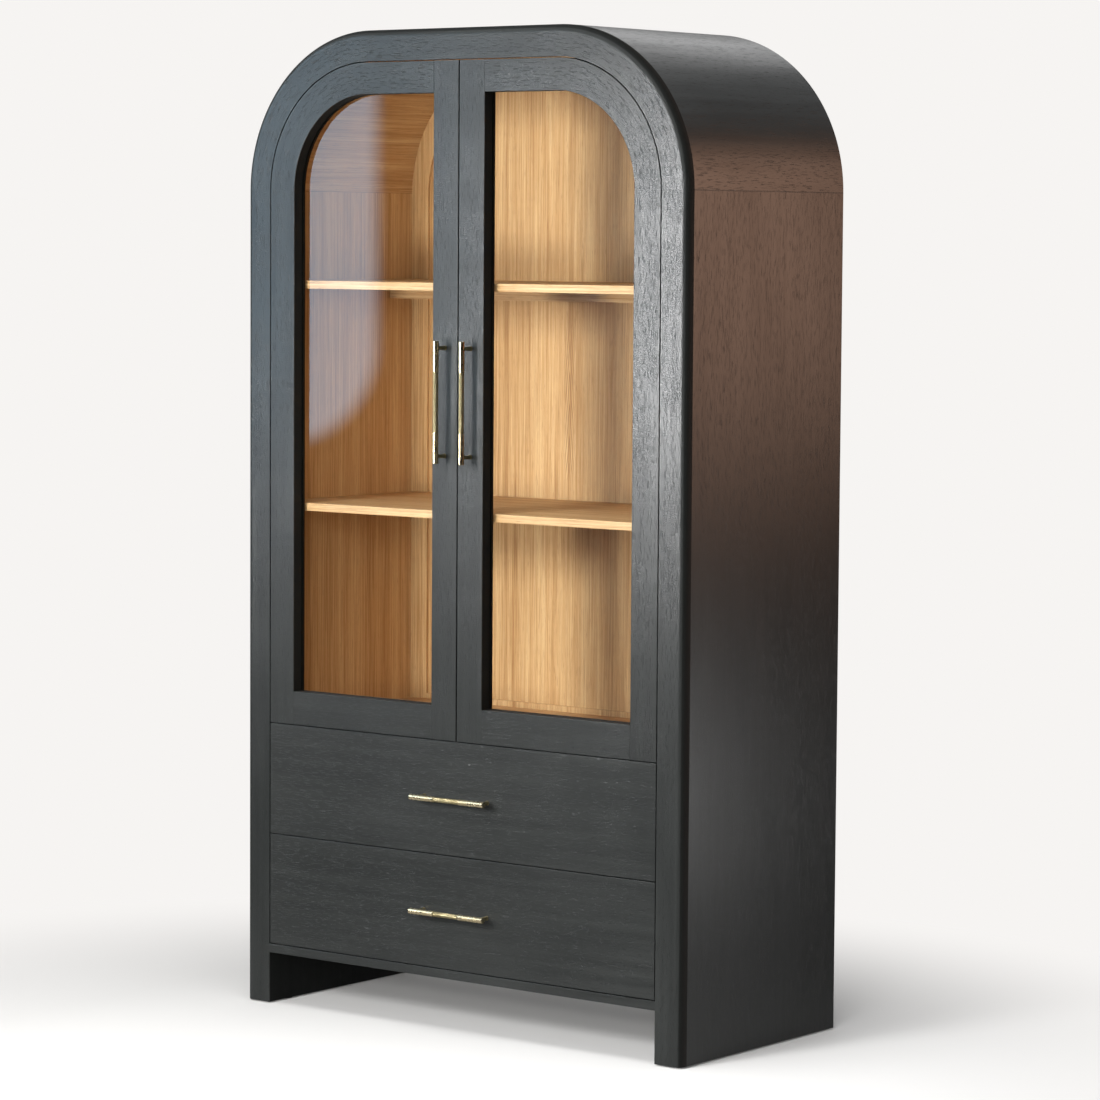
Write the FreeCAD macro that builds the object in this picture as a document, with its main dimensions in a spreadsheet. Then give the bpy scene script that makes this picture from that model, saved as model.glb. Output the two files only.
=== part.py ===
import FreeCAD, Part
import Sketcher
import math
import os
import re

# Curio cabinet with a round-cornered top: two glazed doors over two drawers.
# Units are millimetres and degrees. +Z is up and the doors face -Y. The origin lies on the floor,
# under the middle of the overall box, which reaches from the front of the handles to the rear edge.

SIZES = {
    # shell
    "overall_width": 1107,
    "overall_height": 1980,
    "cabinet_depth": 518,
    "corner_radius": 316,
    "shell_thickness": 18,
    "lining_thickness": 18,
    "frame_width": 61.5,
    "frame_thickness": 20,
    "edge_rounding": 14,
    "edge_easing": 0.8,
    "board_thickness": 18,
    "bottom_clearance": 106,
    "divider_setback": 38,
    "divider_drop": 10,
    # back
    "back_setback": 484,
    "back_thickness": 12,
    "border_width": 44,
    "border_thickness": 6,
    "border_foot": 12,
    # gaps round the inset fronts
    "front_gap": 2,
    "meeting_gap": 2.5,
    # shelves
    "shelf_thickness": 16,
    "shelf_setback": 42,
    "shelf_clearance": 1,
    "upper_shelf_top": 1482.5,
    "lower_shelf_top": 1031.5,
    "shelf_rail_height": 24,
    "shelf_rail_thickness": 18,
    "shelf_rail_setback": 405,
    "pin_diameter": 5,
    "pin_depth": 9,
    "pin_reach": 8,
    "front_pin_setback": 92,
    "rear_pin_setback": 445,
    # doors
    "door_thickness": 34,
    "stile_width": 62.5,
    "bottom_rail_width": 67,
    "rebate_width": 8,
    "glass_setback": 24,
    "glass_thickness": 4,
    "glass_play": 1,
    # concealed hinges
    "low_hinge_height": 690,
    "middle_hinge_height": 1150,
    "high_hinge_height": 1590,
    "hinge_block_depth": 60,
    "hinge_block_height": 90,
    "hinge_plate_setback": 42,
    "hinge_plate_thickness": 1.7,
    "hinge_plate_length": 42,
    "hinge_plate_height": 50,
    "hinge_arm_setback": 38,
    "hinge_arm_width": 12,
    "hinge_arm_height": 12,
    "hinge_link_inner": 42,
    "hinge_link_outer": 45.5,
    "hinge_link_thickness": 2,
    "hinge_link_play": 0.4,
    "hinge_link_start": 38,
    "hinge_link_sweep": 50,
    "cup_diameter": 35,
    "cup_depth": 12,
    "cup_inset": 24,
    "cup_wall": 2,
    "cup_floor": 3,
    "cup_flange_thickness": 1.5,
    "cup_flange_width": 22,
    "cup_flange_height": 62,
    # bar pulls
    "handle_diameter": 12,
    "handle_core_diameter": 10.6,
    "handle_standoff": 27,
    "handle_end_bevel": 0.8,
    "handle_post_diameter": 8,
    "handle_post_inset": 14,
    "door_handle_length": 240,
    "door_handle_sleeve": 61,
    "door_handle_height": 1250,
    "drawer_handle_length": 188,
    "drawer_handle_sleeve": 62,
    # drawers
    "drawer_front_height": 226,
    "drawer_front_thickness": 20,
    "box_thickness": 12,
    "box_height": 160,
    "box_rise": 22,
    "box_length": 440,
    "box_bottom_thickness": 6,
    "box_bottom_rise": 12,
    "box_groove": 5,
    # drawer runners
    "runner_space": 13,
    "runner_gauge": 1.2,
    "runner_setback": 30,
    "runner_length": 440,
    "runner_rise": 70,
    "channel_height": 45,
    "channel_width": 10.5,
    "slide_height": 40,
    "slide_width": 6,
    "slide_offset": 2.5,
    "rail_height": 35,
    "rail_width": 7,
    # levelling feet
    "foot_height": 3,
    "foot_diameter": 34,
    "foot_stem_diameter": 8,
    "foot_stem_length": 32,
    "foot_inset": 70,
    # wall bracket against tipping
    "bracket_width": 60,
    "bracket_gauge": 2,
    "bracket_shelf": 20,
    "bracket_drop": 32,
    "bracket_hole_diameter": 5.5,
    "bracket_hole_spacing": 36,
    "bracket_hole_drop": 20,
}

LEFT = -1
RIGHT = 1
SIDES = {LEFT: "left", RIGHT: "right"}

# Formulas in the words of the sheet, shared by several sub-parts.
FRONT = "((handle_standoff + handle_diameter / 2 - cabinet_depth) / 2)"
HALF_WIDTH = "(overall_width / 2)"
OPENING = "(overall_width / 2 - frame_width)"
WALL = "(overall_width / 2 - shell_thickness - lining_thickness)"
SHELL_INSIDE = "(overall_width / 2 - shell_thickness)"
CORNER_X = "(overall_width / 2 - corner_radius)"
SPRING = "(overall_height - corner_radius)"
BOTTOM_TOP = "(bottom_clearance + board_thickness)"
LOWER_FRONT = f"({BOTTOM_TOP} + front_gap)"
UPPER_FRONT = f"({LOWER_FRONT} + drawer_front_height + front_gap)"
DOOR_BOTTOM = f"({UPPER_FRONT} + drawer_front_height + front_gap)"
DIVIDER_BOTTOM = f"({DOOR_BOTTOM} - divider_drop)"
BAY_FLOOR = f"({DIVIDER_BOTTOM} + board_thickness)"
DOOR_EDGE = f"({OPENING} - front_gap)"
DOOR_RADIUS = "(corner_radius - frame_width - front_gap)"
GLAZING_RADIUS = f"({DOOR_RADIUS} - stile_width)"
GLAZING_EDGE = f"({DOOR_EDGE} - stile_width)"
GLAZING_INNER = "(meeting_gap / 2 + stile_width)"
GLAZING_BOTTOM = f"({DOOR_BOTTOM} + bottom_rail_width)"
HINGE_HEIGHTS = ("low_hinge_height", "middle_hinge_height", "high_hinge_height")
BOX_EDGE = f"({OPENING} - runner_space)"

# Plain values that pick out the edges to round.
CORNER_OFFSET = SIZES["overall_width"] / 2 - SIZES["corner_radius"]
SPRING_HEIGHT = SIZES["overall_height"] - SIZES["corner_radius"]

doc = FreeCAD.newDocument("CurioCabinet")
SUBPARTS = []


# ---------------------------------------------------------------- sheet, formulas and helpers

def make_sheet():
    """The driving dimensions, one named cell each."""
    sheet = doc.addObject("Spreadsheet::Sheet", "Sizes")
    for row, (name, size) in enumerate(SIZES.items(), start=1):
        sheet.set(f"A{row}", name)
        sheet.set(f"B{row}", str(size))
        sheet.setAlias(f"B{row}", name)
    doc.recompute()


def formula(text):
    """Put the sheet's name before each of its aliases."""
    return re.sub(r"[a-z_]+", lambda word: f"Sizes.{word[0]}" if word[0] in SIZES else word[0], text)


def bind(thing, **formulas):
    """Drive properties of an object by formulas."""
    for name, text in formulas.items():
        thing.setExpression(name, formula(text))


def place(thing, x="0", y="0", z="0"):
    """Drive an object's position by formulas."""
    for axis, text in (("x", x), ("y", y), ("z", z)):
        thing.setExpression(f"Placement.Base.{axis}", formula(text))
    return thing


def behind(depth):
    """The plane at this depth behind the front face."""
    return f"{FRONT} + ({depth})"


def across(side, inner, outer):
    """Start and end along X of a span given by its distances from the centre plane."""
    if side == LEFT:
        return f"-({outer})", f"-({inner})"
    return inner, outer


def offset(side, distance):
    """The X of a point at this distance from the centre plane."""
    return f"-({distance})" if side == LEFT else distance


def keep(thing, label):
    """Make this object a sub-part, whose label names its file."""
    thing.Label = label
    SUBPARTS.append(thing)
    return thing


def box(name, x, y, z):
    """A square-edged board between two planes each way."""
    board = doc.addObject("Part::Box", name)
    wide, deep, tall = [f"({end}) - ({start})" for start, end in (x, y, z)]
    bind(board, Length=wide, Width=deep, Height=tall)
    return place(board, x[0], y[0], z[0])


def board(label, x, y, z):
    """A square-edged board that is a sub-part by itself."""
    return keep(box(label + "_blank", x, y, z), label)


def aim(thing, direction):
    """Turn a piece made along +Z to point along this direction."""
    thing.Placement.Rotation = FreeCAD.Rotation(FreeCAD.Vector(0, 0, 1), FreeCAD.Vector(*direction))
    return thing


def cylinder(name, diameter, length, x, y, z, direction=(0, 0, 1)):
    """A rod from a point along a direction."""
    rod = doc.addObject("Part::Cylinder", name)
    bind(rod, Radius=f"({diameter}) / 2", Height=length)
    return place(aim(rod, direction), x, y, z)


def sector(name, side, radius, y, x=CORNER_X, z=SPRING):
    """A quarter disc about a corner's centre, from the side's spring line up to the top."""
    disc = doc.addObject("Part::Cylinder", name)
    bind(disc, Radius=radius, Height=f"({y[1]}) - ({y[0]})")
    disc.Angle = 90
    lay = FreeCAD.Rotation(FreeCAD.Vector(1, 0, 0), 90)
    turn = FreeCAD.Rotation(FreeCAD.Vector(0, 0, 1), 90 if side == LEFT else 0)
    disc.Placement.Rotation = lay * turn
    return place(disc, offset(side, x), y[1], z)


def cut(name, base, tool):
    """The first shape less the second."""
    result = doc.addObject("Part::Cut", name)
    result.Base = base
    result.Tool = tool
    return result


def fuse(name, shapes):
    """Touching shapes joined into one solid."""
    result = doc.addObject("Part::MultiFuse", name)
    result.Shapes = shapes
    result.Refine = True
    return result


def group(name, members):
    """Separate solids that make one sub-part."""
    result = doc.addObject("Part::Compound", name)
    result.Links = members
    return result


def bend(name, side, inner, outer, y):
    """A quarter ring round one top corner."""
    return cut(name, sector(name + "_outer", side, outer, y), sector(name + "_inner", side, inner, y))


def new_sketch(body, plane, name):
    """An empty sketch on one of a body's base planes."""
    sketch = body.newObject("Sketcher::SketchObject", name)
    support = [item for item in body.Origin.OriginFeatures if item.Role == plane][0]
    sketch.AttachmentSupport = [(support, "")]
    sketch.MapMode = "FlatFace"
    return sketch


def outline(sketch, corners, lengths):
    """A closed outline of level and upright lines that starts at the sketch's origin.

    The corners only need the right order and directions: lengths gives the formula of each line's length.
    """
    for i, (start, end) in enumerate(zip(corners, corners[1:] + corners[:1])):
        line = Part.LineSegment(FreeCAD.Vector(*start, 0), FreeCAD.Vector(*end, 0))
        sketch.addGeometry(line, False)
        level = start[1] == end[1]
        sketch.addConstraint(Sketcher.Constraint("Horizontal" if level else "Vertical", i))
    for i in range(len(corners)):
        sketch.addConstraint(Sketcher.Constraint("Coincident", i, 2, (i + 1) % len(corners), 1))
    sketch.addConstraint(Sketcher.Constraint("Coincident", 0, 1, -1, 1))
    for line, text in lengths.items():
        index = sketch.addConstraint(Sketcher.Constraint("Distance", line, sketch.Geometry[line].length()))
        sketch.renameConstraint(index, f"length_{line}")
        sketch.setExpression(f"Constraints.length_{line}", formula(text))


def outline_at(body, plane, name, corners, lengths):
    """A sketch with one closed outline, on a body's base plane."""
    sketch = new_sketch(body, plane, name)
    outline(sketch, corners, lengths)
    return sketch


def edges_where(shape, test):
    """Numbers of the edges whose ends and middle all pass the test."""
    found = []
    for number, edge in enumerate(shape.Edges, start=1):
        middle = edge.valueAt((edge.FirstParameter + edge.LastParameter) / 2)
        points = [vertex.Point for vertex in edge.Vertexes] + [middle]
        if all(test(point) for point in points):
            found.append(number)
    if not found:
        raise RuntimeError("no edge passes the test")
    return found


def near(a, b):
    return abs(a - b) < 0.01


FACES = {"left": ("x", "XMin"), "right": ("x", "XMax"), "low": ("z", "ZMin"), "high": ("z", "ZMax")}


def on_face(shape, word):
    """A test for points on one of the planes that bound a shape."""
    axis, limit = FACES[word]
    plane = getattr(shape.BoundBox, limit)
    return lambda point: near(getattr(point, axis), plane)


def on_bend(side, radius):
    """A test for points at this distance from a top corner's centre."""
    return lambda point: near(math.hypot(point.x - side * CORNER_OFFSET, point.z - SPRING_HEIGHT), radius)


def on_level(rise):
    """A test for points at this height above the spring line."""
    return lambda point: near(point.z, SPRING_HEIGHT + rise)


def front_edges(shape, lines):
    """Numbers of a front face's edges on any of these lines: words of FACES or tests."""
    front = shape.BoundBox.YMin
    numbers = set()
    for line in lines:
        test = on_face(shape, line) if line in FACES else line
        numbers.update(edges_where(shape, lambda point: near(point.y, front) and test(point)))
    return sorted(numbers)


def ease(name, base, size, lines):
    """A fillet on the front edges of a boolean's result."""
    doc.recompute()
    radius = SIZES[size]
    result = doc.addObject("Part::Fillet", name)
    result.Base = base
    result.Edges = [(number, radius, radius) for number in front_edges(base.Shape, lines)]
    return result


def panel(label, x, y, z, rounded, size="edge_easing"):
    """A padded board with some of its front edges rounded: any of left, right, low and high."""
    body = place(doc.addObject("PartDesign::Body", label + "_body"), x[0], y[0], z[0])
    wide, deep, tall = [f"({end}) - ({start})" for start, end in (x, y, z)]
    corners = [(0, 0), (100, 0), (100, 100), (0, 100)]
    pad = body.newObject("PartDesign::Pad", label + "_pad")
    pad.Profile = outline_at(body, "XZ_Plane", label + "_outline", corners, {0: wide, 1: tall})
    pad.Reversed = True
    bind(pad, Length=deep)
    doc.recompute()
    fillet = body.newObject("PartDesign::Fillet", label + "_rounding")
    fillet.Base = (pad, [f"Edge{number}" for number in front_edges(pad.Shape, rounded)])
    bind(fillet, Radius=size)
    return keep(body, label)


def turned(name, corners, lengths):
    """A body turned about its own +Z from a half outline."""
    body = doc.addObject("PartDesign::Body", name)
    sketch = outline_at(body, "XZ_Plane", name + "_outline", corners, lengths)
    turn = body.newObject("PartDesign::Revolution", name + "_turn")
    turn.Profile = sketch
    turn.ReferenceAxis = (sketch, ["V_Axis"])
    turn.Angle = 360
    return body


# ---------------------------------------------------------------- shell

SHELL_DEPTH = (behind("frame_thickness"), behind("cabinet_depth"))
FRAME_DEPTH = (FRONT, behind("frame_thickness"))
LINING_DEPTH = (behind("frame_thickness"), behind("back_setback"))
TO_CENTRE = (f"-{CORNER_X}", CORNER_X)


def make_shell():
    """Outer boards: flat sides, bent corners and a flat top."""
    for side, word in SIDES.items():
        board(f"{word}_side_panel", across(side, SHELL_INSIDE, HALF_WIDTH), SHELL_DEPTH,
              ("foot_height", SPRING))
        corner = bend(f"{word}_shell_bend", side, "corner_radius - shell_thickness", "corner_radius",
                      SHELL_DEPTH)
        keep(corner, f"{word}_corner_panel")
    board("top_panel", TO_CENTRE, SHELL_DEPTH, ("overall_height - shell_thickness", "overall_height"))


def make_front_frame():
    """Thick edging round the front, with its outer front edge rounded."""
    for side, word in SIDES.items():
        panel(f"{word}_front_stile", across(side, OPENING, HALF_WIDTH), FRAME_DEPTH, ("foot_height", SPRING),
              [word], "edge_rounding")
        ring = bend(f"{word}_frame_bend", side, "corner_radius - frame_width", "corner_radius", FRAME_DEPTH)
        outside = on_bend(side, SIZES["corner_radius"])
        keep(ease(f"{word}_frame_rounding", ring, "edge_rounding", [outside]), f"{word}_front_arch")
    panel("top_front_rail", TO_CENTRE, FRAME_DEPTH, ("overall_height - frame_width", "overall_height"),
          ["high"], "edge_rounding")


def make_linings():
    """Inner oak boards of the display bay, drilled for the shelf pins."""
    inside = "corner_radius - shell_thickness - lining_thickness"
    outside = "corner_radius - shell_thickness"
    for side, word in SIDES.items():
        blank = box(f"{word}_lining_blank", across(side, WALL, SHELL_INSIDE), LINING_DEPTH,
                    (DIVIDER_BOTTOM, SPRING))
        drills = [pin(f"{word}_drill", side, shelf, setback) for shelf, setback in pin_places()]
        drilled = cut(f"{word}_lining_drilled", blank, fuse(f"{word}_lining_drills", drills))
        keep(drilled, f"{word}_side_lining")
        keep(bend(f"{word}_lining_bend", side, inside, outside, LINING_DEPTH), f"{word}_corner_lining")
    top = (f"{SPRING} + {inside}", f"{SPRING} + {outside}")
    board("top_lining", TO_CENTRE, LINING_DEPTH, top)


def make_carcass_boards():
    """Boards that carry the drawers and close the bottom, the bay's floor and the back."""
    board("divider_panel", (f"-{WALL}", WALL), (behind("divider_setback"), behind("back_setback")),
          (DIVIDER_BOTTOM, BAY_FLOOR))
    panel("bottom_panel", (f"-{OPENING}", OPENING), (FRONT, behind("back_setback")),
          ("bottom_clearance", BOTTOM_TOP), ["low", "high"])
    for side, word in SIDES.items():
        blank = box(f"{word}_base_blank", across(side, OPENING, SHELL_INSIDE), LINING_DEPTH,
                    ("foot_height", DIVIDER_BOTTOM))
        drills = [foot_stem(f"{word}_base_drill", side, depth) for depth in foot_depths()]
        keep(cut(f"{word}_base_drilled", blank, fuse(f"{word}_base_drills", drills)), f"{word}_base_board")
    depth = (behind("back_setback"), behind("back_setback + back_thickness"))
    low = box("back_low", (f"-{SHELL_INSIDE}", SHELL_INSIDE), depth, ("bottom_clearance", SPRING))
    high = box("back_high", TO_CENTRE, depth, (SPRING, "overall_height - shell_thickness"))
    corners = [sector(f"back_{word}", side, "corner_radius - shell_thickness", depth)
               for side, word in SIDES.items()]
    keep(fuse("back_whole", [low, high] + corners), "back_panel")


def make_back_border():
    """Thin strips on the back panel, round the display bay."""
    depth = (behind("back_setback - border_thickness"), behind("back_setback"))
    outer = "(corner_radius - shell_thickness - lining_thickness)"
    foot_top = f"{BAY_FLOOR} + border_foot"
    strips = [
        box("border_foot_strip", (f"-{WALL}", WALL), depth, (BAY_FLOOR, foot_top)),
        box("border_top_strip", TO_CENTRE, depth,
            (f"{SPRING} + {outer} - border_width", f"{SPRING} + {outer}")),
    ]
    for side, word in SIDES.items():
        strips.append(box(f"border_{word}_strip", across(side, f"{WALL} - border_width", WALL), depth,
                          (foot_top, SPRING)))
        strips.append(bend(f"border_{word}_bend", side, f"{outer} - border_width", outer, depth))
    keep(group("back_border_strips", strips), "back_border")


# ---------------------------------------------------------------- shelves

SHELVES = {"upper": "upper_shelf_top", "lower": "lower_shelf_top"}


def pin_places():
    """The shelf top and the setback of each pin on one side."""
    setbacks = ("front_pin_setback", "rear_pin_setback")
    return [(top, setback) for top in SHELVES.values() for setback in setbacks]


def pin(name, side, shelf_top, setback):
    """A shelf pin from its depth in the lining to its reach under the shelf."""
    start = offset(side, f"{WALL} + pin_depth")
    height = f"{shelf_top} - shelf_thickness - pin_diameter / 2"
    length = "pin_depth + pin_reach"
    return cylinder(name, "pin_diameter", length, start, behind(setback), height, (-side, 0, 0))


def make_shelves():
    """Loose shelves, a stiffening rail under each and the pins they rest on."""
    edge = f"({WALL} - shelf_clearance)"
    rail_depth = (behind("shelf_rail_setback"), behind("shelf_rail_setback + shelf_rail_thickness"))
    rails = []
    for word, top in SHELVES.items():
        panel(f"{word}_shelf", (f"-{edge}", edge),
              (behind("shelf_setback"), behind("back_setback - border_thickness - shelf_clearance")),
              (f"{top} - shelf_thickness", top), ["low", "high"])
        rails.append(box(f"{word}_shelf_rail", (f"-{edge}", edge), rail_depth,
                         (f"{top} - shelf_thickness - shelf_rail_height", f"{top} - shelf_thickness")))
    keep(group("shelf_rail_pair", rails), "shelf_rails")
    pins = [pin(f"{word}_pin", side, top, setback)
            for side, word in SIDES.items() for top, setback in pin_places()]
    keep(group("shelf_pin_set", pins), "shelf_pins")


# ---------------------------------------------------------------- feet and wall bracket

def foot_depths():
    """Setbacks of the front and rear foot."""
    return "foot_inset", "cabinet_depth - foot_inset"


def foot_x(side):
    """The middle of the base board's thickness."""
    return offset(side, f"({OPENING} + {SHELL_INSIDE}) / 2")


def foot_stem(name, side, depth):
    """The threaded stem of a foot, or its hole in the base board."""
    x = foot_x(side)
    return cylinder(name, "foot_stem_diameter", "foot_stem_length", x, behind(depth), "foot_height")


def make_levelling_feet():
    """Glides turned in one piece with their stems."""
    corners = [(0, 0), (20, 0), (20, 5), (5, 5), (5, 40), (0, 40)]
    lengths = {0: "foot_diameter / 2", 1: "foot_height", 3: "foot_stem_length", 4: "foot_stem_diameter / 2"}
    feet = []
    for side, word in SIDES.items():
        for depth in foot_depths():
            foot = turned(f"{word}_foot", corners, lengths)
            feet.append(place(foot, foot_x(side), behind(depth), "0"))
    keep(group("levelling_foot_set", feet), "levelling_feet")


def make_wall_bracket():
    """An angle behind the back panel, screwed up into the top and back to a wall."""
    top = "(overall_height - shell_thickness)"
    body = place(doc.addObject("PartDesign::Body", "bracket_body"), "-bracket_width / 2",
                 behind("cabinet_depth"), top)
    corners = [(0, 0), (-20, 0), (-20, -2), (-2, -2), (-2, -30), (0, -30)]
    lengths = {0: "bracket_shelf", 1: "bracket_gauge", 4: "bracket_gauge", 5: "bracket_drop"}
    pad = body.newObject("PartDesign::Pad", "bracket_pad")
    pad.Profile = outline_at(body, "YZ_Plane", "bracket_outline", corners, lengths)
    bind(pad, Length="bracket_width")
    drills = [
        cylinder(f"bracket_drill_{i}", "bracket_hole_diameter", "bracket_shelf",
                 f"{sign} * bracket_hole_spacing / 2", behind("cabinet_depth - bracket_shelf / 2"),
                 f"{top} - bracket_hole_drop", (0, 1, 0))
        for i, sign in enumerate((-1, 1))
    ]
    keep(cut("bracket_drilled", body, fuse("bracket_drills", drills)), "wall_bracket")


# ---------------------------------------------------------------- hinges

def at_hinge(height, half):
    """Start and end along Z of a span about a hinge's height."""
    return f"{height} - ({half})", f"{height} + ({half})"


def make_hinge_blocks():
    """Packers behind the front frame that carry the mounting plates."""
    depth = (behind("frame_thickness"), behind("frame_thickness + hinge_block_depth"))
    blocks = []
    for side, word in SIDES.items():
        for height in HINGE_HEIGHTS:
            tall = at_hinge(height, "hinge_block_height / 2")
            blocks.append(box(f"{word}_hinge_block", across(side, OPENING, WALL), depth, tall))
    keep(group("hinge_block_set", blocks), "hinge_blocks")


def make_hinge_arms():
    """Mounting plates on the blocks, each with the arm that reaches forward to the door."""
    arms = []
    plate_face = f"{OPENING} - hinge_plate_thickness"
    arm_face = f"{DOOR_EDGE} - hinge_arm_width"
    plate_depth = (behind("hinge_plate_setback"), behind("hinge_plate_setback + hinge_plate_length"))
    arm_depth = (behind("hinge_arm_setback"), behind("hinge_arm_setback + hinge_plate_length"))
    for side, word in SIDES.items():
        for height in HINGE_HEIGHTS:
            plate = box(f"{word}_hinge_plate", across(side, plate_face, OPENING), plate_depth,
                        at_hinge(height, "hinge_plate_height / 2"))
            arm = box(f"{word}_hinge_arm", across(side, arm_face, plate_face), arm_depth,
                      at_hinge(height, "hinge_arm_height / 2"))
            arms.append(fuse(f"{word}_hinge_arm_whole", [plate, arm]))
    keep(group("hinge_arm_set", arms), "hinge_arms")


def make_hinge_links(side):
    """Curved cheeks either side of each arm, centred on the door's turning axis."""
    word = SIDES[side]
    pivot = offset(side, DOOR_EDGE)
    start = "hinge_link_start" if side == LEFT else "180 - hinge_link_start - hinge_link_sweep"
    inset = "(hinge_arm_height / 2 + hinge_link_play)"
    cheeks = []
    for height in HINGE_HEIGHTS:
        for low in (f"{height} + {inset}", f"{height} - {inset} - hinge_link_thickness"):
            slices = []
            for radius in ("hinge_link_outer", "hinge_link_inner"):
                thick = "hinge_link_thickness"
                disc = cylinder(f"{word}_link_slice", f"2 * {radius}", thick, pivot, FRONT, low)
                bind(disc, Angle="hinge_link_sweep")
                disc.setExpression("Placement.Rotation.Angle", formula(start))
                slices.append(disc)
            cheeks.append(cut(f"{word}_link_cheek", *slices))
    keep(group(f"{word}_link_set", cheeks), f"{word}_hinge_links")


def cup_drill(name, side, diameter, height, floor="0"):
    """A cylinder sunk into the rear of a hinge stile, to the cup's depth less a floor."""
    x = offset(side, f"{DOOR_EDGE} - cup_inset")
    start = behind(f"door_thickness - cup_depth + {floor}")
    length = f"cup_depth + cup_flange_thickness - {floor}"
    return cylinder(name, diameter, length, x, start, height, (0, 1, 0))


def make_hinge_cups(side):
    """Hollow cups pressed into a door's hinge stile, each with its flange."""
    word = SIDES[side]
    middle = f"({DOOR_EDGE} - cup_inset)"
    flange_span = across(side, f"{middle} - cup_flange_width / 2", f"{middle} + cup_flange_width / 2")
    flange_depth = (behind("door_thickness"), behind("door_thickness + cup_flange_thickness"))
    cups = []
    for height in HINGE_HEIGHTS:
        flange = box(f"{word}_cup_flange", flange_span, flange_depth,
                     at_hinge(height, "cup_flange_height / 2"))
        outside = cup_drill(f"{word}_cup_outside", side, "cup_diameter", height)
        solid = fuse(f"{word}_cup_solid", [outside, flange])
        hollow = cup_drill(f"{word}_cup_hollow", side, "cup_diameter - 2 * cup_wall", height, "cup_floor")
        cups.append(cut(f"{word}_cup", solid, hollow))
    keep(group(f"{word}_cup_set", cups), f"{word}_hinge_cups")


# ---------------------------------------------------------------- doors

DOOR_DEPTH = (FRONT, behind("door_thickness"))
REBATE_DEPTH = (behind("glass_setback"), behind("door_thickness"))
GLASS_DEPTH = (behind("glass_setback"), behind("glass_setback + glass_thickness"))
BEAD_DEPTH = (behind("glass_setback + glass_thickness"), behind("door_thickness"))


def make_hinge_stile(side):
    """The stile at the frame, rebated for the glass and drilled for the hinge cups."""
    word = SIDES[side]
    blank = box(f"{word}_hinge_stile_blank", across(side, GLAZING_EDGE, DOOR_EDGE), DOOR_DEPTH,
                (DOOR_BOTTOM, SPRING))
    rebate = box(f"{word}_hinge_stile_rebate", across(side, GLAZING_EDGE, f"{GLAZING_EDGE} + rebate_width"),
                 REBATE_DEPTH, (f"{GLAZING_BOTTOM} - rebate_width", SPRING))
    drills = [cup_drill(f"{word}_cup_drill", side, "cup_diameter", height) for height in HINGE_HEIGHTS]
    stile = cut(f"{word}_hinge_stile_cut", blank, fuse(f"{word}_hinge_stile_tools", [rebate] + drills))
    keep(ease(f"{word}_hinge_stile_eased", stile, "edge_easing", ["left", "right"]),
         f"{word}_door_hinge_stile")


def make_meeting_stile(side):
    """The stile in the middle of the cabinet, which runs to the top of the door."""
    word = SIDES[side]
    blank = box(f"{word}_meeting_stile_blank", across(side, "meeting_gap / 2", GLAZING_INNER), DOOR_DEPTH,
                (DOOR_BOTTOM, f"{SPRING} + {DOOR_RADIUS}"))
    rebate = box(f"{word}_meeting_stile_rebate",
                 across(side, f"{GLAZING_INNER} - rebate_width", GLAZING_INNER), REBATE_DEPTH,
                 (f"{GLAZING_BOTTOM} - rebate_width", f"{SPRING} + {GLAZING_RADIUS} + rebate_width"))
    stile = cut(f"{word}_meeting_stile_cut", blank, rebate)
    keep(ease(f"{word}_meeting_stile_eased", stile, "edge_easing", ["left", "right"]),
         f"{word}_door_meeting_stile")


def make_bottom_rail(side):
    word = SIDES[side]
    span = across(side, GLAZING_INNER, GLAZING_EDGE)
    blank = box(f"{word}_bottom_rail_blank", span, DOOR_DEPTH, (DOOR_BOTTOM, GLAZING_BOTTOM))
    rebate = box(f"{word}_bottom_rail_rebate", span, REBATE_DEPTH,
                 (f"{GLAZING_BOTTOM} - rebate_width", GLAZING_BOTTOM))
    rail = cut(f"{word}_bottom_rail_cut", blank, rebate)
    keep(ease(f"{word}_bottom_rail_eased", rail, "edge_easing", ["low", "high"]), f"{word}_door_bottom_rail")


def make_arch_rail(side):
    """The top rail: level from the meeting stile, then bent down to the hinge stile."""
    word = SIDES[side]
    run = across(side, GLAZING_INNER, CORNER_X)
    lap = "rebate_width"
    blank = fuse(f"{word}_arch_rail_blank", [
        bend(f"{word}_arch_bend", side, GLAZING_RADIUS, DOOR_RADIUS, DOOR_DEPTH),
        box(f"{word}_arch_run", run, DOOR_DEPTH,
            (f"{SPRING} + {GLAZING_RADIUS}", f"{SPRING} + {DOOR_RADIUS}")),
    ])
    rebate = fuse(f"{word}_arch_rebate", [
        bend(f"{word}_arch_rebate_bend", side, GLAZING_RADIUS, f"{GLAZING_RADIUS} + {lap}", REBATE_DEPTH),
        box(f"{word}_arch_rebate_run", run, REBATE_DEPTH,
            (f"{SPRING} + {GLAZING_RADIUS}", f"{SPRING} + {GLAZING_RADIUS} + {lap}")),
    ])
    outer = SIZES["corner_radius"] - SIZES["frame_width"] - SIZES["front_gap"]
    inner = outer - SIZES["stile_width"]
    lines = [on_bend(side, outer), on_bend(side, inner), on_level(outer), on_level(inner)]
    rail = cut(f"{word}_arch_rail_cut", blank, rebate)
    keep(ease(f"{word}_arch_rail_eased", rail, "edge_easing", lines), f"{word}_door_arch_rail")


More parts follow.
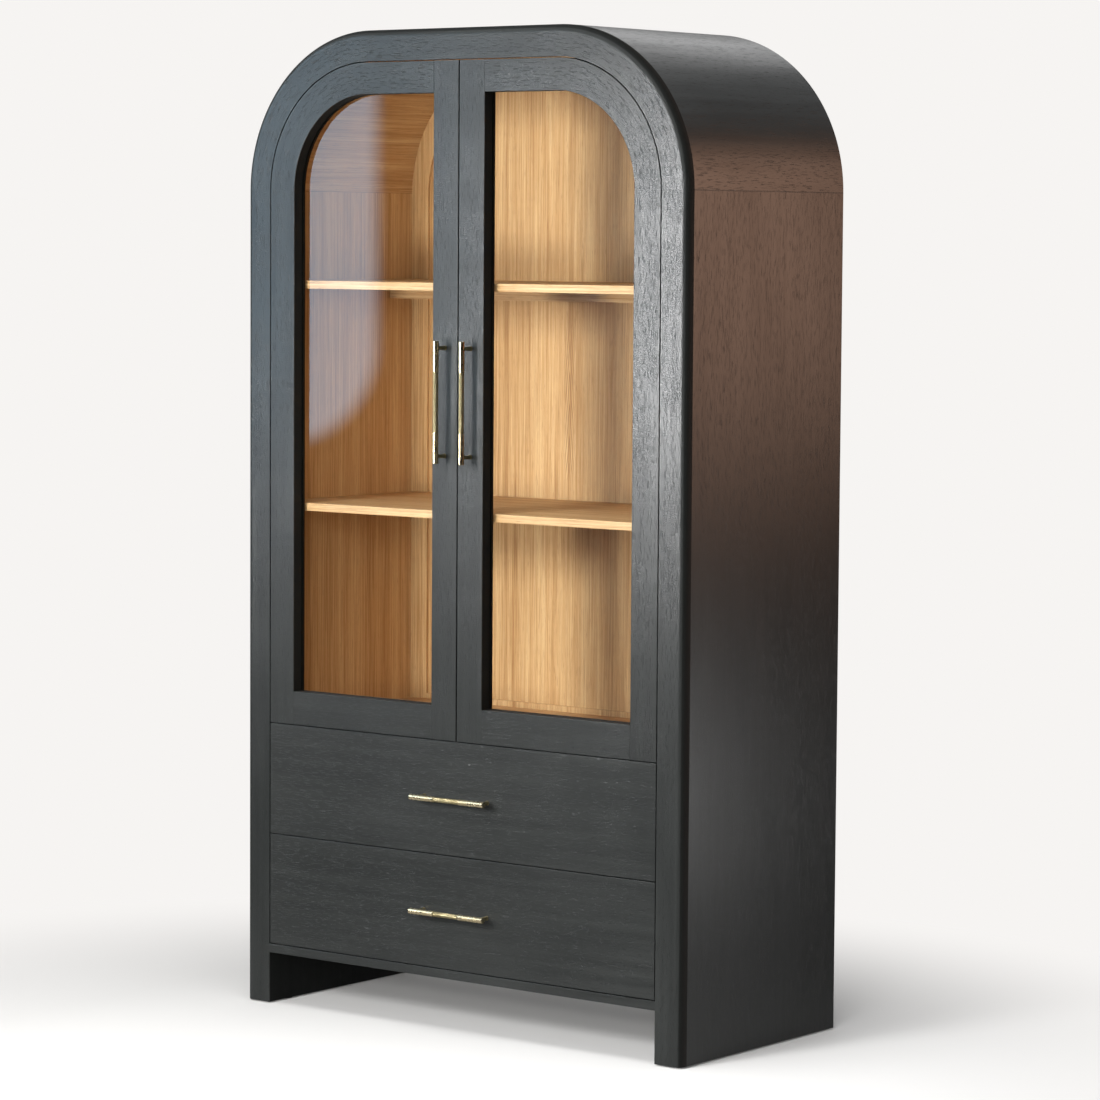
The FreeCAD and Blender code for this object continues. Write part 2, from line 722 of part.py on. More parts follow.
def make_glazing(side):
    """The pane and the beads that hold it in the rebate."""
    word = SIDES[side]
    lap = "(rebate_width - glass_play)"
    inner = f"{GLAZING_INNER} - {lap}"
    high = f"{SPRING} + {GLAZING_RADIUS} + {lap}"
    glass = fuse(f"{word}_glass_sheet", [
        box(f"{word}_glass_low", across(side, inner, f"{GLAZING_EDGE} + {lap}"), GLASS_DEPTH,
            (f"{GLAZING_BOTTOM} - {lap}", SPRING)),
        box(f"{word}_glass_high", across(side, inner, CORNER_X), GLASS_DEPTH, (SPRING, high)),
        sector(f"{word}_glass_corner", side, f"{GLAZING_RADIUS} + {lap}", GLASS_DEPTH),
    ])
    keep(glass, f"{word}_door_glass")

    bead_top = f"{SPRING} + {GLAZING_RADIUS}"
    inner_bead = f"{GLAZING_INNER} - rebate_width"
    outer_bead = f"{GLAZING_EDGE} + rebate_width"
    beads = [
        box(f"{word}_bead_foot", across(side, inner_bead, outer_bead), BEAD_DEPTH,
            (f"{GLAZING_BOTTOM} - rebate_width", GLAZING_BOTTOM)),
        box(f"{word}_bead_hinge_side", across(side, GLAZING_EDGE, outer_bead), BEAD_DEPTH,
            (GLAZING_BOTTOM, SPRING)),
        box(f"{word}_bead_meeting_side", across(side, inner_bead, GLAZING_INNER), BEAD_DEPTH,
            (GLAZING_BOTTOM, bead_top)),
        box(f"{word}_bead_head", across(side, inner_bead, CORNER_X), BEAD_DEPTH,
            (bead_top, f"{bead_top} + rebate_width")),
        bend(f"{word}_bead_bend", side, GLAZING_RADIUS, f"{GLAZING_RADIUS} + rebate_width", BEAD_DEPTH),
    ]
    keep(group(f"{word}_bead_set", beads), f"{word}_door_beads")


# ---------------------------------------------------------------- bar pulls

def bar(name, length, sleeve):
    """A round bar made along +Z, with a thinner grip between two end sleeves and bevelled ends."""
    corners = [(0, 0), (12, 0), (12, 60), (10, 60), (10, 180), (12, 180), (12, 240), (0, 240)]
    step = "(handle_diameter - handle_core_diameter) / 2"
    grip = f"{length} - 2 * {sleeve}"
    lengths = {0: "handle_diameter / 2", 1: sleeve, 2: step, 3: grip, 4: step, 5: sleeve}
    body = turned(name, corners, lengths)
    doc.recompute()
    turn = body.Tip
    frame = turn.Shape.BoundBox

    def on_rim(point):
        at_end = near(point.z, frame.ZMin) or near(point.z, frame.ZMax)
        return at_end and near(math.hypot(point.x, point.y), frame.XMax)

    bevel = body.newObject("PartDesign::Chamfer", name + "_bevel")
    bevel.Base = (turn, [f"Edge{number}" for number in edges_where(turn.Shape, on_rim)])
    bind(bevel, Size="handle_end_bevel")
    return body


def handle(label, length, sleeve, x, z, upright):
    """A bar on two posts: x and z give the middle of the bar."""
    axis = (0, 0, 1) if upright else (1, 0, 0)
    depth = behind("-handle_standoff")

    def along(distance):
        """X and Z of a point of the bar's axis, at this distance from its middle."""
        return (x, f"{z} + ({distance})") if upright else (f"{x} + ({distance})", z)

    start_x, start_z = along(f"-{length} / 2")
    members = [place(aim(bar(label + "_bar", length, sleeve), axis), start_x, depth, start_z)]
    for i, sign in enumerate(("-1", "1")):
        post_place = f"{sign} * ({length} / 2 - handle_post_inset)"
        post_x, post_z = along(post_place)
        seat_x, seat_z = along(f"{post_place} - handle_post_inset / 2")
        post = cylinder(f"{label}_post_{i}", "handle_post_diameter", "handle_standoff",
                        post_x, depth, post_z, (0, 1, 0))
        seat = cylinder(f"{label}_post_seat_{i}", "handle_diameter", "handle_post_inset",
                        seat_x, depth, seat_z, axis)
        members.append(cut(f"{label}_post_fitted_{i}", post, seat))
    keep(group(label + "_set", members), label)


def make_door(side):
    make_hinge_stile(side)
    make_meeting_stile(side)
    make_bottom_rail(side)
    make_arch_rail(side)
    make_glazing(side)
    make_hinge_cups(side)
    make_hinge_links(side)
    middle = offset(side, "meeting_gap / 2 + stile_width / 2")
    handle(f"{SIDES[side]}_door_handle", "door_handle_length", "door_handle_sleeve", middle,
           "door_handle_height", True)


# ---------------------------------------------------------------- drawers

DRAWERS = {"upper": UPPER_FRONT, "lower": LOWER_FRONT}


def drawer_boards(word, bottom):
    """Two sides and two ends, grooved for the bottom board."""
    low = f"{bottom} + box_rise"
    high = f"{low} + box_height"
    front = "drawer_front_thickness"
    rear = "drawer_front_thickness + box_length"
    inner = f"({BOX_EDGE} - box_thickness)"
    whole = (behind(front), behind(rear))
    blanks = [
        box(f"{word}_box_left", across(LEFT, inner, BOX_EDGE), whole, (low, high)),
        box(f"{word}_box_right", across(RIGHT, inner, BOX_EDGE), whole, (low, high)),
        box(f"{word}_box_front", (f"-{inner}", inner),
            (behind(front), behind(f"{front} + box_thickness")), (low, high)),
        box(f"{word}_box_rear", (f"-{inner}", inner),
            (behind(f"{rear} - box_thickness"), behind(rear)), (low, high)),
    ]
    return [cut(f"{word}_box_grooved_{i}", blank, drawer_floor(f"{word}_groove_{i}", bottom))
            for i, blank in enumerate(blanks)]


def drawer_floor(name, bottom):
    """The bottom board, or the groove it leaves in the other boards."""
    inner = f"({BOX_EDGE} - box_thickness + box_groove)"
    low = f"{bottom} + box_rise + box_bottom_rise"
    inset = "(box_thickness - box_groove)"
    start = behind(f"drawer_front_thickness + {inset}")
    end = behind(f"drawer_front_thickness + box_length - {inset}")
    return box(name, (f"-{inner}", inner), (start, end), (low, f"{low} + box_bottom_thickness"))


def profile(name, side, near_x, far_x, open_x, height, z):
    """A channel section along Y: a web and two flanges, open towards the opening."""
    depth = (behind("runner_setback"), behind("runner_setback + runner_length"))
    solid = box(name + "_solid", across(side, near_x, far_x), depth,
                (f"{z} - {height} / 2", f"{z} + {height} / 2"))
    hollow = box(name + "_hollow", across(side, *open_x), depth,
                 (f"{z} - {height} / 2 + runner_gauge", f"{z} + {height} / 2 - runner_gauge"))
    return cut(name, solid, hollow)


def channel(word, side, z):
    """The fixed member, on the base board and open towards the drawer."""
    mouth = f"({OPENING} - channel_width)"
    hollow = (mouth, f"{OPENING} - runner_gauge")
    return profile(f"{word}_channel", side, mouth, OPENING, hollow, "channel_height", z)


def slide(word, side, z):
    """The middle member, which runs in the channel."""
    back = f"({OPENING} - slide_offset)"
    mouth = f"({back} - slide_width)"
    hollow = (mouth, f"{back} - runner_gauge")
    return profile(f"{word}_slide", side, mouth, back, hollow, "slide_height", z)


def rail(word, side, z):
    """The member on the drawer's side, open towards the slide."""
    mouth = f"({BOX_EDGE} + rail_width)"
    hollow = (f"{BOX_EDGE} + runner_gauge", mouth)
    return profile(f"{word}_rail", side, BOX_EDGE, mouth, hollow, "rail_height", z)


def make_drawer(word, bottom):
    """One drawer: its front, box, bottom, pull and the moving runner members."""
    panel(f"{word}_drawer_front", (f"-{DOOR_EDGE}", DOOR_EDGE), (FRONT, behind("drawer_front_thickness")),
          (bottom, f"{bottom} + drawer_front_height"), ["left", "right", "low", "high"])
    keep(group(f"{word}_box_boards", drawer_boards(word, bottom)), f"{word}_drawer_box")
    keep(drawer_floor(f"{word}_box_floor", bottom), f"{word}_drawer_bottom")
    z = f"({bottom} + runner_rise)"
    keep(group(f"{word}_rail_pair", [rail(word, side, z) for side in SIDES]), f"{word}_drawer_rails")
    keep(group(f"{word}_slide_pair", [slide(word, side, z) for side in SIDES]), f"{word}_runner_slides")
    handle(f"{word}_drawer_handle", "drawer_handle_length", "drawer_handle_sleeve", "0",
           f"{bottom} + drawer_front_height / 2", False)


def make_runner_channels():
    """The fixed runner members of both drawers."""
    channels = [channel(word, side, f"({bottom} + runner_rise)")
                for word, bottom in DRAWERS.items() for side in SIDES]
    keep(group("runner_channel_set", channels), "runner_channels")


# ---------------------------------------------------------------- build, check and write

def check_document():
    """Stop when a feature did not rebuild or a sub-part is not a solid."""
    doc.recompute()
    for thing in doc.Objects:
        if {"Invalid", "Error"} & set(thing.State):
            raise RuntimeError(f"{thing.Name} did not rebuild: {thing.State}")
    for thing in SUBPARTS:
        if thing.Shape.isNull() or not thing.Shape.isValid() or not thing.Shape.Solids:
            raise RuntimeError(f"{thing.Label} has no valid solid")


def write_parts():
    """One STEP file per sub-part, with a table of their sizes."""
    os.makedirs("parts", exist_ok=True)
    for old in os.listdir("parts"):
        os.remove(os.path.join("parts", old))
    for thing in SUBPARTS:
        thing.Shape.exportStep(f"parts/{thing.Label}.step")
        frame = thing.Shape.BoundBox
        print(f"{thing.Label:26s} solids {len(thing.Shape.Solids)}  "
              f"volume {thing.Shape.Volume / 1000:9.1f} cm3  "
              f"x {frame.XMin:8.2f} {frame.XMax:8.2f}  y {frame.YMin:8.2f} {frame.YMax:8.2f}  "
              f"z {frame.ZMin:8.2f} {frame.ZMax:8.2f}")


make_sheet()
make_shell()
make_front_frame()
make_linings()
make_carcass_boards()
make_back_border()
make_shelves()
make_levelling_feet()
make_wall_bracket()
make_hinge_blocks()
make_hinge_arms()
for hand in SIDES:
    make_door(hand)
for level, level_bottom in DRAWERS.items():
    make_drawer(level, level_bottom)
make_runner_channels()
check_document()
write_parts()
print(len(SUBPARTS), "sub-parts")
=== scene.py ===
import bmesh
import bpy
import math
from mathutils import Matrix, Vector


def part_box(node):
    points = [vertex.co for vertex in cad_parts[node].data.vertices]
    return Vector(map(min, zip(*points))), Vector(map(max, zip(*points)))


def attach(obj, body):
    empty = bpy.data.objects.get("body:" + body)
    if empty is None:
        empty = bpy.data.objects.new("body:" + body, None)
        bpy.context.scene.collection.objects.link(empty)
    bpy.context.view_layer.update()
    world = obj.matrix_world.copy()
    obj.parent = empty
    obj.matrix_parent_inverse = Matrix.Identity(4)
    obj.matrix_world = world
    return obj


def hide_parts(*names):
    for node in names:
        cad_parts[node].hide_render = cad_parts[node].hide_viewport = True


# Looks of the curio cabinet: stained and natural oak, brass pulls, glass and steel fittings.
# Units are metres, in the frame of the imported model: +Z up, doors towards -Y.

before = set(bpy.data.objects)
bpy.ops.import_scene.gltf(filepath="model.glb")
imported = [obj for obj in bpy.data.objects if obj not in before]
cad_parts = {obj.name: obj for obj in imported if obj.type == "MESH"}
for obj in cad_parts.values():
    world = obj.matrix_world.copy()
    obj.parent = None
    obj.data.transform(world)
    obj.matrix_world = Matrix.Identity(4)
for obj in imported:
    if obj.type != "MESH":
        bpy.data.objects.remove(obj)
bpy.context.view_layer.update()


# ---------------------------------------------------------------- places taken from the frame

def low(node):
    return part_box(node)[0]


def high(node):
    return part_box(node)[1]


MM = 0.001

FRONT_Y = low("left_front_stile").y
BACK_FACE_Y = low("back_panel").y
HALF_WIDTH = high("right_side_panel").x
SPRING_Z = high("left_side_panel").z  # where the straight sides meet the bent corners
CORNER_X = high("top_panel").x  # where the level top meets the bent corners


# ---------------------------------------------------------------- camera

CAMERA_PLACE = Vector((5.035, -6.4028, 1.5809))
CAMERA_AZIMUTH = math.radians(37.944)
CAMERA_DIP = math.radians(4.452)
CAMERA_ROLL = math.radians(0.373)
CAMERA_LENS = 133.031


def make_camera():
    level = Vector((-math.sin(CAMERA_AZIMUTH), math.cos(CAMERA_AZIMUTH), 0))
    ahead = level * math.cos(CAMERA_DIP) - Vector((0, 0, math.sin(CAMERA_DIP)))
    right = Vector((math.cos(CAMERA_AZIMUTH), math.sin(CAMERA_AZIMUTH), 0))
    up = right.cross(ahead)
    tilted_right = right * math.cos(CAMERA_ROLL) + up * math.sin(CAMERA_ROLL)
    tilted_up = up * math.cos(CAMERA_ROLL) - right * math.sin(CAMERA_ROLL)
    turn = Matrix((tilted_right, tilted_up, -ahead)).transposed()
    camera = bpy.data.objects.new("camera", bpy.data.cameras.new("camera"))
    camera.data.lens = CAMERA_LENS
    camera.matrix_world = Matrix.Translation(CAMERA_PLACE) @ turn.to_4x4()
    bpy.context.collection.objects.link(camera)
    bpy.context.scene.camera = camera


# ---------------------------------------------------------------- node trees

class Graph:
    """Writes one node tree: each method adds a node and returns the socket that comes out of it."""

    def __init__(self, tree):
        self.tree = tree
        tree.nodes.clear()

    def node(self, kind, **settings):
        made = self.tree.nodes.new(kind)
        for name, value in settings.items():
            setattr(made, name, value)
        return made

    def feed(self, socket, value):
        if isinstance(value, bpy.types.NodeSocket):
            self.tree.links.new(value, socket)
        elif value is not None:
            socket.default_value = value

    def math(self, operation, a, b=None):
        made = self.node("ShaderNodeMath", operation=operation)
        for socket, value in zip(made.inputs, (a, b)):
            self.feed(socket, value)
        return made.outputs[0]

    def add(self, a, b):
        return self.math("ADD", a, b)

    def take(self, a, b):
        return self.math("SUBTRACT", a, b)

    def times(self, a, b):
        return self.math("MULTIPLY", a, b)

    def most(self, a, b):
        return self.math("MAXIMUM", a, b)

    def size(self, a):
        return self.math("ABSOLUTE", a)

    def vector_math(self, operation, a, b):
        made = self.node("ShaderNodeVectorMath", operation=operation)
        self.feed(made.inputs[0], a)
        self.feed(made.inputs[1], b)
        return made.outputs[0]

    def split(self, vector):
        made = self.node("ShaderNodeSeparateXYZ")
        self.feed(made.inputs[0], vector)
        return made.outputs

    def join(self, x, y, z):
        made = self.node("ShaderNodeCombineXYZ")
        for socket, value in zip(made.inputs, (x, y, z)):
            self.feed(socket, value)
        return made.outputs[0]

    def place(self):
        return self.node("ShaderNodeTexCoord").outputs["Object"]

    def noise(self, vector, scale=1.0, detail=2.0, roughness=0.5, distortion=0.0):
        made = self.node("ShaderNodeTexNoise")
        for name, value in (("Vector", vector), ("Scale", scale), ("Detail", detail),
                            ("Roughness", roughness), ("Distortion", distortion)):
            self.feed(made.inputs[name], value)
        return made.outputs["Fac"]

    def span(self, value, start, end, new_start=0.0, new_end=1.0, smooth=True):
        made = self.node("ShaderNodeMapRange", interpolation_type="SMOOTHSTEP" if smooth else "LINEAR")
        for socket, item in zip(made.inputs, (value, start, end, new_start, new_end)):
            self.feed(socket, item)
        return made.outputs[0]

    def ramp(self, value, stops):
        made = self.node("ShaderNodeValToRGB")
        self.feed(made.inputs[0], value)
        for element, (position, colour) in zip(made.color_ramp.elements, stops):
            element.position = position
            element.color = (*colour, 1)
        for position, colour in stops[len(made.color_ramp.elements):]:
            made.color_ramp.elements.new(position).color = (*colour, 1)
        return made.outputs[0]

    def mix(self, factor, a, b, blend="MIX"):
        made = self.node("ShaderNodeMix", data_type="RGBA", blend_type=blend)
        for index, value in ((0, factor), (6, a), (7, b)):
            if isinstance(value, tuple) and len(value) == 3:
                value = (*value, 1)
            self.feed(made.inputs[index], value)
        return made.outputs[2]

    def blend_shaders(self, factor, a, b):
        made = self.node("ShaderNodeMixShader")
        for socket, value in zip(made.inputs, (factor, a, b)):
            self.feed(socket, value)
        return made.outputs[0]

    def bump(self, height, depth):
        made = self.node("ShaderNodeBump")
        self.feed(made.inputs["Distance"], depth)
        self.feed(made.inputs["Height"], height)
        return made.outputs[0]

    def emission(self, colour, strength):
        made = self.node("ShaderNodeEmission")
        self.feed(made.inputs["Color"], (*colour, 1))
        self.feed(made.inputs["Strength"], strength)
        return made.outputs[0]

    def surface(self, shader):
        made = self.node("ShaderNodeOutputMaterial")
        self.feed(made.inputs["Surface"], shader)

    def principled(self, **inputs):
        made = self.node("ShaderNodeBsdfPrincipled")
        for name, value in inputs.items():
            self.feed(made.inputs[name.replace("_", " ")], value)
        return made.outputs[0]


def new_material(name):
    material = bpy.data.materials.new(name)
    material.use_nodes = True
    return material, Graph(material.node_tree)


BEND_REACH = 0.25  # metres of grain for each radian round a bend


def grain_space(graph, along):
    """Object coordinates turned so that the grain runs along their third axis."""
    x, y, z = graph.split(graph.place())
    if along == "X":
        return graph.join(y, z, x)
    if along == "Y":
        return graph.join(z, x, y)
    if along == "Z":
        return graph.join(x, y, z)
    side = graph.take(graph.size(x), CORNER_X)
    rise = graph.take(z, SPRING_Z)
    clear_side = graph.most(side, 0.0)
    squares = graph.add(graph.math("POWER", clear_side, 2.0), graph.math("POWER", rise, 2.0))
    bend = graph.times(graph.math("ARCTAN2", rise, clear_side), BEND_REACH)
    run = graph.math("MINIMUM", side, 0.0)
    return graph.join(graph.math("SQRT", squares), y, graph.take(bend, run))


def stretched(graph, vector, across, along):
    """Coordinates for a noise with this many features a metre across and along the grain."""
    return graph.vector_math("MULTIPLY", vector, (across, across, along))


def pores(graph, grain, density, start, end):
    """Short dashes along the grain: 1 in a pore, 0 between them."""
    return graph.span(graph.noise(stretched(graph, grain, *density), detail=1.0), start, end)


def line_at(graph, value, position, half_width):
    """1 on a thin line where the value meets the position, fading to 0."""
    gap = graph.size(graph.take(value, position))
    return graph.span(gap, half_width * 0.4, half_width, 1.0, 0.0)


# ---------------------------------------------------------------- black oak

# Features a metre across and along the grain.
BLACK_FIGURE = (55, 2.2)
BLACK_CLOUD = (7, 3)
BLACK_PORES = (780, 42)

BLACK_DARK = (0.0085, 0.0095, 0.0090)
BLACK_LIGHT = (0.020, 0.0215, 0.0205)
BLACK_PORE = (0.004, 0.0045, 0.004)
BLACK_SEAM = 0.9 * MM
EDGE_START = 0.6 * MM  # how far behind the front the painted shade on the edges starts
EDGE_FULL = 3.0 * MM


def black_oak(name, along, seam=False, painted_shade_edges=False, depth=0.5 * MM):
    """Open-grained oak under a dark satin stain, with a line at the bend, or with painted shade on the faces
    behind the front if asked.
    """
    material, graph = new_material(name)
    grain = grain_space(graph, along)
    _, y, z = graph.split(graph.place())
    figure = graph.noise(stretched(graph, grain, *BLACK_FIGURE), detail=4.0, roughness=0.6, distortion=0.3)
    cloud = graph.noise(stretched(graph, grain, *BLACK_CLOUD), detail=2.0)
    pore = pores(graph, grain, BLACK_PORES, 0.60, 0.70)
    tone = graph.add(graph.times(figure, 0.6), graph.times(cloud, 0.4))
    stain = graph.ramp(tone, [(0.36, BLACK_DARK), (0.64, BLACK_LIGHT)])
    hide = graph.noise(graph.place(), scale=330, detail=3.0, roughness=0.6)
    patch = graph.span(graph.noise(graph.place(), scale=9, detail=2.0), 0.38, 0.62, 0.45, 1.0)
    dark = graph.times(pore, 0.7)
    relief = graph.take(graph.times(hide, patch), graph.times(pore, 0.55))
    relief = graph.add(relief, graph.times(figure, 0.5))
    gloss = graph.add(graph.span(tone, 0.3, 0.7, 0.34, 0.28), graph.times(pore, 0.18))
    if seam:
        joint = line_at(graph, z, SPRING_Z, BLACK_SEAM)
        dark = graph.most(dark, joint)
        relief = graph.take(relief, graph.times(joint, 1.5))
    if painted_shade_edges:
        # Painted shade: faces more than 0.6 mm behind the front turn near-black and rougher, standing in for
        # the dark reflections on the fillet and the shade in the door reveals.
        edge = graph.span(y, FRONT_Y + EDGE_START, FRONT_Y + EDGE_FULL)
        dark = graph.most(dark, edge)
        gloss = graph.add(gloss, graph.times(edge, 0.6))
    colour = graph.mix(dark, stain, BLACK_PORE)
    graph.surface(graph.principled(Base_Color=colour, Roughness=gloss, IOR=1.5,
                                   Normal=graph.bump(relief, depth)))
    return material


# ---------------------------------------------------------------- natural oak and plywood

OAK_BANDS = (42, 0.9)
OAK_LINES = (260, 3.2)
OAK_THREADS = (900, 9)
OAK_STREAKS = (520, 7)
OAK_PORES = (1100, 38)

OAK_DARK = (0.40, 0.205, 0.075)
OAK_MID = (0.60, 0.365, 0.165)
OAK_LIGHT = (0.76, 0.525, 0.275)
OAK_PORE = (0.26, 0.125, 0.045)
OAK_SEAM = 0.8 * MM
REAR_STAIN_DEPTH = 6 * MM  # the back panel is stained from here to its rear face

FIGURE_CENTRE = Vector((-0.097, 0, 1.235))
FIGURE_POINTS = 17.0  # nested points a metre up the figure
FIGURE_SLOPE = 190.0  # how steeply each point falls away to its sides
FIGURE_HALF_WIDTH = (0.006, 0.019)  # full strength up to the first, gone at the second
FIGURE_HALF_HEIGHT = (0.12, 0.19)


def cathedral(graph):
    """The nested points of one flat-sawn figure, fading sideways and towards its ends."""
    x, _, z = graph.split(graph.place())
    aside = graph.size(graph.take(x, FIGURE_CENTRE.x))
    above = graph.size(graph.take(z, FIGURE_CENTRE.z))
    wave = graph.noise(stretched(graph, graph.place(), 40, 6), detail=2.0)
    fall = graph.add(graph.times(z, FIGURE_POINTS), graph.times(wave, 1.2))
    point = graph.add(fall, graph.times(aside, FIGURE_SLOPE))
    ring = graph.size(graph.take(graph.math("FRACT", point), 0.5))
    thin = graph.span(ring, 0.02, 0.20, 1.0, 0.0)
    near = graph.span(aside, *FIGURE_HALF_WIDTH, 1.0, 0.0)
    tall = graph.span(above, *FIGURE_HALF_HEIGHT, 1.0, 0.0)
    return graph.times(graph.times(thin, near), tall)


def natural_oak(name, along, strip, seed, counted="both", figure=False, stained_rear=False, tint=None,
                seam=False):
    """Straight-grained oak veneer in strips, which are counted across, in depth or over both."""
    material, graph = new_material(name)
    plain = grain_space(graph, along)
    across, depth, _ = graph.split(plain)
    sideways = depth if counted == "depth" else across
    if counted == "both":
        sideways = graph.add(across, depth)
    chance = graph.node("ShaderNodeTexWhiteNoise", noise_dimensions="1D")
    strips = graph.math("DIVIDE", graph.add(sideways, seed), strip)
    graph.feed(chance.inputs["W"], graph.math("FLOOR", strips))
    tone = chance.outputs["Value"]
    shift = graph.join(tone, graph.times(tone, 3.7), graph.times(tone, 5.1))
    grain = graph.vector_math("ADD", plain, shift)
    bands = graph.noise(stretched(graph, grain, *OAK_BANDS), detail=3.0, roughness=0.55, distortion=0.25)
    lines = graph.noise(stretched(graph, grain, *OAK_LINES), detail=3.0, roughness=0.6)
    threads = graph.noise(stretched(graph, grain, *OAK_THREADS), detail=2.0)
    value = graph.add(graph.times(bands, 0.30), graph.times(lines, 0.52))
    value = graph.add(value, graph.times(threads, 0.26))
    value = graph.add(value, graph.times(graph.take(tone, 0.5), 0.05))
    wood = graph.ramp(value, [(0.38, OAK_DARK), (0.52, OAK_MID), (0.68, OAK_LIGHT)])
    streak = graph.times(pores(graph, grain, OAK_STREAKS, 0.60, 0.68), 0.35)
    dash = graph.most(streak, graph.times(pores(graph, grain, OAK_PORES, 0.62, 0.70), 0.5))
    if figure:
        dash = graph.most(dash, cathedral(graph))
    _, y, z = graph.split(graph.place())
    if seam:
        dash = graph.most(dash, graph.times(line_at(graph, z, SPRING_Z, OAK_SEAM), 0.8))
    colour = graph.mix(dash, wood, OAK_PORE)
    # The tint multiplies the whole colour: painted shade on the linings, painted light on the shelves.
    if tint:
        colour = graph.mix(1.0, colour, tint, "MULTIPLY")
    if stained_rear:
        rear = graph.math("GREATER_THAN", y, BACK_FACE_Y + REAR_STAIN_DEPTH)
        colour = graph.mix(rear, colour, BLACK_DARK)
    relief = graph.add(graph.times(lines, 0.5), graph.times(threads, 0.4))
    relief = graph.take(relief, dash)
    gloss = graph.span(lines, 0.35, 0.65, 0.50, 0.42)
    graph.surface(graph.principled(Base_Color=colour, Roughness=gloss, IOR=1.46,
                                   Normal=graph.bump(relief, 0.18 * MM)))
    return material


PLY_LINES = (130, 3)
PLY_PORES = (900, 30)
PLY_DARK = (0.50, 0.335, 0.175)
PLY_LIGHT = (0.70, 0.52, 0.315)
PLY_PORE = (0.34, 0.20, 0.09)
BOX_BOARD = 12 * MM


def drawer_ply(name):
    """Pale plywood, with its grain along the box's sides and across inside its front and rear boards.

    The inner faces of those two boards lie on the mask's limit and show the grain end-on.
    """
    material, graph = new_material(name)
    _, y, _ = graph.split(graph.place())
    front_board = graph.math("LESS_THAN", y, low("upper_drawer_box").y + BOX_BOARD)
    rear_board = graph.math("GREATER_THAN", y, high("upper_drawer_box").y - BOX_BOARD)
    grain = graph.mix(graph.most(front_board, rear_board), grain_space(graph, "Y"), grain_space(graph, "X"))
    lines = graph.noise(stretched(graph, grain, *PLY_LINES), detail=4.0, roughness=0.6)
    flecks = pores(graph, grain, PLY_PORES, 0.62, 0.72)
    wood = graph.ramp(lines, [(0.35, PLY_DARK), (0.65, PLY_LIGHT)])
    colour = graph.mix(graph.times(flecks, 0.5), wood, PLY_PORE)
    graph.surface(graph.principled(Base_Color=colour, Roughness=graph.span(lines, 0.3, 0.7, 0.55, 0.46),
                                   Normal=graph.bump(lines, 0.15 * MM)))
    return material


# ---------------------------------------------------------------- glass, metal and plastic

GLASS_TINT = (0.965, 0.972, 0.965, 1)
GLASS_IOR = 1.5
MIRROR_FACES = 2.0  # the outer face mirrors for both
MIRROR_LIMIT = 0.6


def clear_glass(name):
    """A pane that mirrors a little and lets the rest through unbent."""
    material, graph = new_material(name)
    smear = graph.noise(graph.place(), scale=3.0, detail=2.0)
    mirror = graph.node("ShaderNodeBsdfGlossy")
    graph.feed(mirror.inputs["Roughness"], graph.span(smear, 0.3, 0.7, 0.0, 0.012))
    clear = graph.node("ShaderNodeBsdfTransparent")
    graph.feed(clear.inputs["Color"], GLASS_TINT)
    fresnel = graph.node("ShaderNodeFresnel")
    graph.feed(fresnel.inputs["IOR"], GLASS_IOR)
    share = graph.math("MINIMUM", graph.times(fresnel.outputs[0], MIRROR_FACES), MIRROR_LIMIT)
    outer = graph.take(1.0, graph.node("ShaderNodeNewGeometry").outputs["Backfacing"])
    graph.surface(graph.blend_shaders(graph.times(share, outer), clear.outputs[0], mirror.outputs[0]))
    return material


def metal(name, colour, dark, rough, brush, along="Z"):
    """Brushed metal with a thin patina."""
    material, graph = new_material(name)
    grain = grain_space(graph, along)
    strokes = graph.noise(stretched(graph, grain, *brush), detail=3.0, roughness=0.6)
    tarnish = graph.noise(graph.place(), scale=45, detail=4.0, roughness=0.6)
    tint = graph.mix(graph.span(tarnish, 0.42, 0.68, 0.0, 0.7), colour, dark)
    gloss = graph.add(graph.span(strokes, 0.3, 0.7, rough - 0.05, rough + 0.07),
                      graph.span(tarnish, 0.45, 0.7, 0.0, 0.10))
    graph.surface(graph.principled(Base_Color=tint, Metallic=1.0, Roughness=gloss,
                                   Normal=graph.bump(strokes, 0.03 * MM)))
    return material


PLASTIC_DARK = (0.045, 0.045, 0.047)
PLASTIC_LIGHT = (0.06, 0.06, 0.062)


def moulded_plastic(name):
    """Dark plastic with a fine moulded grain."""
    material, graph = new_material(name)
    grain = graph.noise(graph.place(), scale=900, detail=2.0)
    cloud = graph.noise(graph.place(), scale=30, detail=2.0)
    colour = graph.ramp(cloud, [(0.4, PLASTIC_DARK), (0.6, PLASTIC_LIGHT)])
    graph.surface(graph.principled(Base_Color=colour, Roughness=graph.span(grain, 0.3, 0.7, 0.45, 0.6),
                                   Normal=graph.bump(grain, 0.05 * MM)))
    return material


# ---------------------------------------------------------------- who wears what

# Painted shade: the side and bent linings get a darker, warmer copy of the oak, as those walls sit in shade.
LINING_PAINTED_SHADE = (0.93, 0.90, 0.865)
# Painted light: the shelves get a less saturated copy of the oak, standing in for the bright frontal light on
# their front edges.
SHELF_PAINTED_LIGHT = (0.93, 0.94, 0.99)
SKIN_DEPTH = 0.16 * MM  # relief of the smoother outer panels

